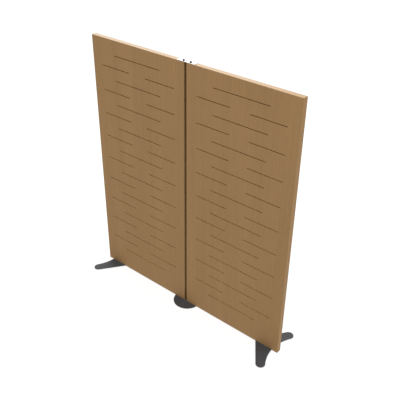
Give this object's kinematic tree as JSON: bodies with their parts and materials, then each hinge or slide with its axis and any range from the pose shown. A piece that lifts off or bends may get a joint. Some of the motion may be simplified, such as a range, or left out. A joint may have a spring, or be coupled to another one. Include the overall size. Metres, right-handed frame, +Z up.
{
  "type": "acoustic partition",
  "caption": "Free-standing wooden acoustic screen with slotted leaves that swing on a top link plate and a round centre foot, with flat V-shaped feet at the ends.",
  "frame": {"origin": "on the floor, under the middle of the joint between the leaves", "axes": "+X along the leaves towards the right-hand leaf, +Y to the back, +Z up"},
  "size_m": [1.606, 0.4, 1.8131],
  "materials": {
    "veneer": "satin",
    "edge_veneer": "satin",
    "frame_timber": "matte",
    "absorber": "matte",
    "dark_coat": "satin",
    "plate_steel": "gloss",
    "black_screw": "satin",
    "insert_brass": "satin",
    "washer_plastic": "matte",
    "glide_plastic": "matte"
  },
  "bodies": {
    "centre": {"centre_foot_disc": "dark_coat", "centre_foot_glides": "glide_plastic", "top_link_plate": "plate_steel", "bottom_pivot_washers": "washer_plastic", "top_pivot_washers": "washer_plastic"},
    "left_leaf": {"left_front_sheet": "veneer", "left_rear_sheet": "veneer", "left_outer_lipping": "edge_veneer", "left_inner_lipping": "edge_veneer", "left_top_lipping": "edge_veneer", "left_bottom_lipping": "edge_veneer", "left_inner_stile": "frame_timber", "left_outer_stile": "frame_timber", "left_top_rail": "frame_timber", "left_middle_rail": "frame_timber", "left_bottom_rail": "frame_timber", "left_frame_dowels": "frame_timber", "left_upper_absorber": "absorber", "left_lower_absorber": "absorber", "left_pivot_inserts": "insert_brass", "left_top_pivot_screw": "black_screw", "left_bottom_pivot_screw": "black_screw", "left_end_foot": "dark_coat", "left_foot_screws": "black_screw", "left_foot_glides": "glide_plastic"},
    "right_leaf": {"right_front_sheet": "veneer", "right_rear_sheet": "veneer", "right_outer_lipping": "edge_veneer", "right_inner_lipping": "edge_veneer", "right_top_lipping": "edge_veneer", "right_bottom_lipping": "edge_veneer", "right_inner_stile": "frame_timber", "right_outer_stile": "frame_timber", "right_top_rail": "frame_timber", "right_middle_rail": "frame_timber", "right_bottom_rail": "frame_timber", "right_frame_dowels": "frame_timber", "right_upper_absorber": "absorber", "right_lower_absorber": "absorber", "right_pivot_inserts": "insert_brass", "right_top_pivot_screw": "black_screw", "right_bottom_pivot_screw": "black_screw", "right_end_foot": "dark_coat", "right_foot_screws": "black_screw", "right_foot_glides": "glide_plastic"}
  },
  "joints": [
    {"name": "left_leaf_swing", "type": "hinge", "parent": "centre", "child": "left_leaf", "pos_m": [-0.027, 0, 0], "axis": [0, 0, 1], "range_deg": [-75, 75]},
    {"name": "right_leaf_swing", "type": "hinge", "parent": "centre", "child": "right_leaf", "pos_m": [0.027, 0, 0], "axis": [0, 0, 1], "range_deg": [-75, 75]}
  ]
}
